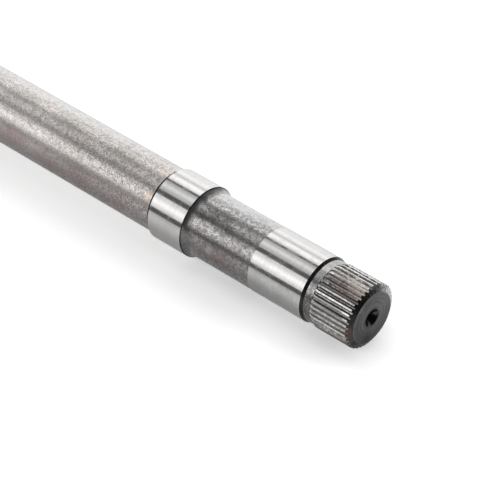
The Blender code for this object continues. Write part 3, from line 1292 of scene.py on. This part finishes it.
@dataclass
class Studio:
    """White paper under the shaft, and long soft lights that run beside it."""

    floor_level: float
    paper_front: float = 0.274
    paper_right: float = 0.32
    paper_far: float = 5.0
    paper_colour: Colour = (0.92, 0.92, 0.92)
    white_lift: float = 0.36
    # painted light on the paper: glow that grows away from the shaft paints the soft edge of its
    # shadow, the 0.10 lift just in front of the bar paints light bounced off it, and the 0.18 lift
    # past the splined end paints out shadow there
    lifts: tuple[PaperLift, ...] = (
        PaperLift(0.40, y_from=0.0316, y_to=0.4216),
        PaperLift(0.16, y_from=0.0105, y_to=0.0422),
        PaperLift(0.12, y_from=-0.019, y_to=-0.06),
        PaperLift(0.07, x_from=0.0632, x_to=-0.0843, y_from=-0.044, y_to=-0.014),
        PaperLift(0.18, x_from=0.112, x_to=0.142),
        PaperLift(0.10, x_from=0.0527, x_to=-0.0211, y_from=-0.02, y_to=-0.0116),
        PaperLift(0.09, x_from=0.042, x_to=0.095, y_from=-0.02, y_to=-0.036),
        PaperLift(0.05, x_from=0.095, x_to=0.125, y_from=-0.016, y_to=-0.026),
    )
    contact_shade: float = 0.85
    contact_from: float = 0.0105
    contact_to: float = 0.083
    far_shade: float = 0.70
    far_from: float = 0.035
    far_to: float = 0.235
    back_shade: float = 0.42
    back_from: float = 0.005
    back_to: float = 0.035
    back_relief: float = 0.5
    relief_from: float = 0.05
    relief_to: float = 0.20
    ambient: float = 0.17
    edge_softness: float = 1.5
    lights_start: float = -0.95
    lights_full: float = -0.75
    strips: tuple[StripLight, ...] = (
        StripLight(8.5, 50.5, 1.30, 28.0, 0.75, 16.0, -0.25, 0.50),
        StripLight(66.0, 100.5, 0.80, 83.5, 0.56, 12.0, -0.40, 0.65),
        StripLight(108.0, 230.0, 0.92),
        StripLight(109.5, 131.0, 0.62, 120.5, 0.40, 12.0, -0.65, 0.25),
        StripLight(140.8, 190.0, 0.36, 153.0, 0.38, 13.0, -0.60, 0.40),
        StripLight(120.0, 200.0, 0.20, full_to=0.60, gone_at=1.10),
    )

    def lay_floor(self) -> bpy.types.Object:
        """Lay the paper as a unit square that its four reaches stretch.

        Returns:
            The floor.
        """
        form = bmesh.new()
        bmesh.ops.create_grid(form, x_segments=1, y_segments=1, size=0.5)
        width = self.paper_far + self.paper_right
        depth = self.paper_far + self.paper_front
        bmesh.ops.scale(form, verts=form.verts, vec=Vector((width, depth, 1.0)))
        middle = (self.paper_right - width / 2.0, depth / 2.0 - self.paper_front)
        bmesh.ops.translate(form, verts=form.verts, vec=Vector((*middle, self.floor_level)))
        floor = mesh_object("studio_floor", form)
        floor.data.materials.append(self._paper())
        return floor

    def _paper(self) -> bpy.types.Material:
        """Make the paper, which glows a little for the camera and for mirrored rays only.

        Returns:
            The paper's material.
        """
        paint = PaintedMaterial("studio_paper", self.paper_colour)
        board = paint.board
        shader = board.add("ShaderNodeBsdfPrincipled")
        shader.inputs["Base Color"].default_value = paint.colour
        shader.inputs["Roughness"].default_value = 1.0
        shader.inputs["Specular IOR Level"].default_value = 0.0
        shader.inputs["Emission Color"].default_value = WHITE
        place = board.split(paint.position)
        path = board.add("ShaderNodeLightPath").outputs
        mirrored = board.math("MAXIMUM", path["Is Glossy Ray"], path["Is Transmission Ray"])
        mirrored = board.math("MULTIPLY", mirrored, self._mirrored_share(board, place))
        seen = board.math("MAXIMUM", path["Is Camera Ray"], mirrored)
        lift = self.white_lift
        for run in self.lifts:
            lift = board.math("ADD", run.glow(board, place), lift)
        board.feed(shader, {"Emission Strength": board.math("MULTIPLY", seen, lift)})
        board.end("ShaderNodeOutputMaterial", shader)
        return paint.material

    def _mirrored_share(self, board: NodeBoard, place: Sockets) -> Socket:
        """Work out how much of the paper's glow the steel mirrors, less beside the shaft.

        Args:
            board: the paper's board.
            place: the place's X, Y and Z.

        Returns:
            The share's socket.
        """
        aside = board.math("ABSOLUTE", place["Y"])
        clear = board.ramp(aside, self.contact_from, self.contact_to)
        clear = board.math("MULTIPLY_ADD", clear, self.contact_shade, 1.0 - self.contact_shade)
        far = board.dim(place["Y"], -self.far_from, -self.far_to, self.far_shade)
        back = board.ramp(place["Y"], self.back_from, self.back_to)
        relief = board.dim(place["Y"], self.relief_from, self.relief_to, self.back_relief)
        back = board.math("MULTIPLY", back, relief)
        back = board.math("MULTIPLY_ADD", back, -self.back_shade, 1.0)
        return board.math("MULTIPLY", board.math("MULTIPLY", clear, far), back)

    def hang_lights(self) -> None:
        """Make the world: soft strips that end past the splined end, over a dim room."""
        world = bpy.data.worlds.new("soft_studio")
        world.use_nodes = True
        bpy.context.scene.world = world
        board = NodeBoard(world.node_tree)
        toward = board.split(board.add("ShaderNodeTexCoord").outputs["Generated"])
        front = board.math("MULTIPLY", toward["Y"], -1.0)
        angle = board.math("ARCTAN2", toward["Z"], front)
        degrees = board.math("MULTIPLY", angle, math.degrees(1.0))
        start = board.ramp(toward["X"], self.lights_start, self.lights_full)
        glow = self.ambient
        for strip in self.strips:
            lit = self._strip_glow(board, strip, toward["X"], degrees)
            glow = board.math("ADD", board.math("MULTIPLY", lit, start), glow)
        room = board.add("ShaderNodeBackground")
        board.feed(room, {"Color": WHITE, "Strength": glow})
        paper = board.add("ShaderNodeBackground")
        paper.inputs["Color"].default_value = WHITE
        seen = board.add("ShaderNodeLightPath").outputs["Is Camera Ray"]
        chooser = board.add("ShaderNodeMixShader")
        board.feed(chooser, {0: seen, 1: room.outputs[0], 2: paper.outputs[0]})
        board.end("ShaderNodeOutputWorld", chooser)

    def _strip_glow(
        self, board: NodeBoard, strip: StripLight, along: Socket, degrees: Socket
    ) -> Socket:
        """Work out how brightly one strip glows in each direction.

        Args:
            board: the world's board.
            strip: the strip.
            along: the direction's X.
            degrees: the direction's angle about the shaft's axis.

        Returns:
            The glow's socket.
        """
        soft = self.edge_softness
        rise = board.ramp(degrees, strip.low - soft, strip.low + soft)
        fall = board.ramp(degrees, strip.high - soft, strip.high + soft)
        off = board.math("ABSOLUTE", board.math("SUBTRACT", degrees, strip.hot_line))
        hot = board.dim(off, 0.0, strip.hot_reach, 1.0)
        level = board.math("MULTIPLY_ADD", hot, strip.hot_level, strip.level)
        lit = board.math("MULTIPLY", board.math("SUBTRACT", rise, fall), level)
        return board.math("MULTIPLY", lit, board.dim(along, strip.full_to, strip.gone_at, 1.0))


@dataclass
class PhotoCamera:
    """The camera, at the photograph's place and angle. Its lens and sensor are in millimetres."""

    place: tuple[float, float, float] = (0.74498, -0.76301, 0.83902)
    azimuth: float = math.radians(42.502)
    elevation: float = math.radians(39.089)
    focal_length: float = 173.09
    sensor_width: float = 36.0
    near: float = 0.01
    far: float = 100.0

    def set_up(self) -> bpy.types.Object:
        """Make the camera the scene's camera.

        Returns:
            The camera.
        """
        lens = bpy.data.cameras.new("photo_camera")
        lens.lens = self.focal_length
        lens.sensor_width = self.sensor_width
        lens.clip_start = self.near
        lens.clip_end = self.far
        camera = bpy.data.objects.new("photo_camera", lens)
        camera.location = self.place
        camera.rotation_euler = (math.pi / 2.0 - self.elevation, 0.0, self.azimuth)
        bpy.context.scene.collection.objects.link(camera)
        bpy.context.scene.camera = camera
        return camera


def report(piece: bpy.types.Object) -> None:
    """Log a piece's size.

    Args:
        piece: the piece.
    """
    triangles = sum(len(face.vertices) - 2 for face in piece.data.polygons)
    sizes = " x ".join("%.1f" % (MILLIMETRES * side) for side in piece.dimensions)
    log.info("%s: %s mm, %d triangles", piece.name, sizes, triangles)


def main() -> None:
    """Build the shaft, its studio and its camera."""
    logging.basicConfig(level=logging.INFO, format="%(name)s: %(message)s")
    bpy.context.scene.view_settings.view_transform = "Standard"
    low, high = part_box(CAD_NODE)
    PhotoCamera().set_up()

    shaft = AxleShaft(face_x=high[0], length=high[0] - low[0]).build(EffectLibrary())
    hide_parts(CAD_NODE)
    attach(shaft, "root")
    report(shaft)

    studio = Studio(floor_level=low[2])
    studio.lay_floor()
    studio.hang_lights()


if __name__ == "__main__":
    main()
